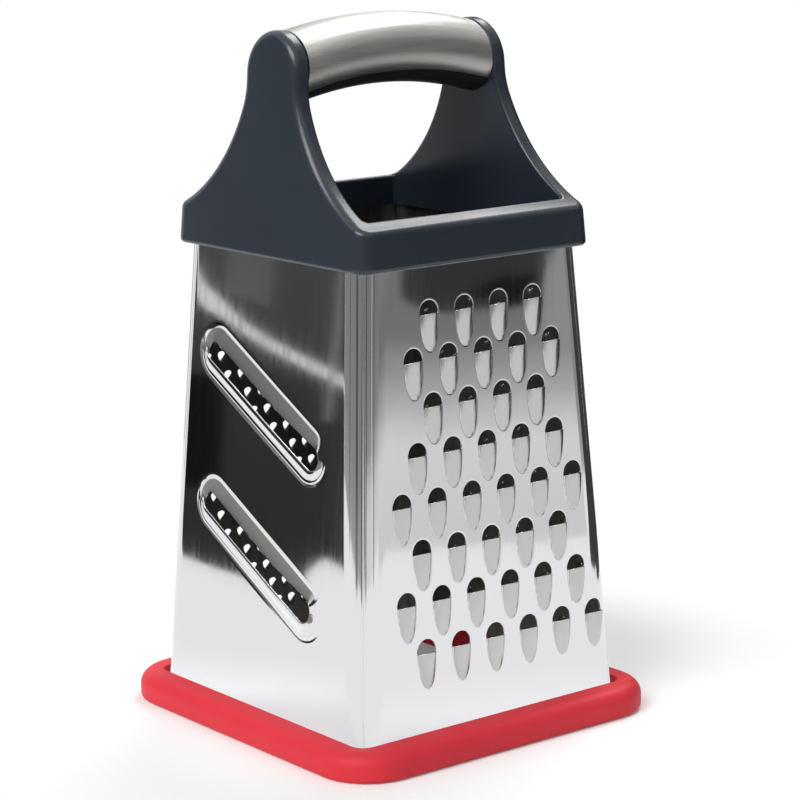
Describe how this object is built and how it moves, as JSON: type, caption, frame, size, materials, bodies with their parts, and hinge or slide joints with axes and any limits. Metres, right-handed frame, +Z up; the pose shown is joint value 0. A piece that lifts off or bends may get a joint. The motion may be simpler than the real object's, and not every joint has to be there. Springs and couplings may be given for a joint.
{
  "type": "box grater",
  "caption": "Tapered steel box grater with a different cutting face on each side, a plastic collar whose wings carry a bowed grip, and a soft pull-off base ring",
  "frame": {"origin": "on the floor, under the middle of the grater", "axes": "+Z up; the coarse face looks along -Y, the slicing face along -X, the fine face along +Y and the zesting face along +X; the grip runs along X"},
  "size_m": [0.1346, 0.1398, 0.2415],
  "materials": {
    "polished_steel": "stamped stainless sheet, polished bright",
    "brushed_sheath": "stainless sheet brushed along the grip",
    "slate_plastic": "dark blue-grey moulding, satin flats with glossy rounded edges",
    "black_plastic": "black moulded plastic",
    "soft_red": "soft coral-red moulding, satin"
  },
  "bodies": {
    "grater": {"coarse_panel": "polished_steel", "slicing_panel": "polished_steel", "fine_panel": "polished_steel", "zesting_panel": "polished_steel", "collar": "slate_plastic", "retaining_frame": "black_plastic", "handle_core": "black_plastic", "handle_sheath": "brushed_sheath"},
    "ring": {"base_ring": "soft_red"}
  },
  "joints": [
    {"name": "ring_pull", "type": "slide", "parent": "grater", "child": "ring", "axis": [0, 0, -1], "range_m": [0, 0.03]}
  ]
}
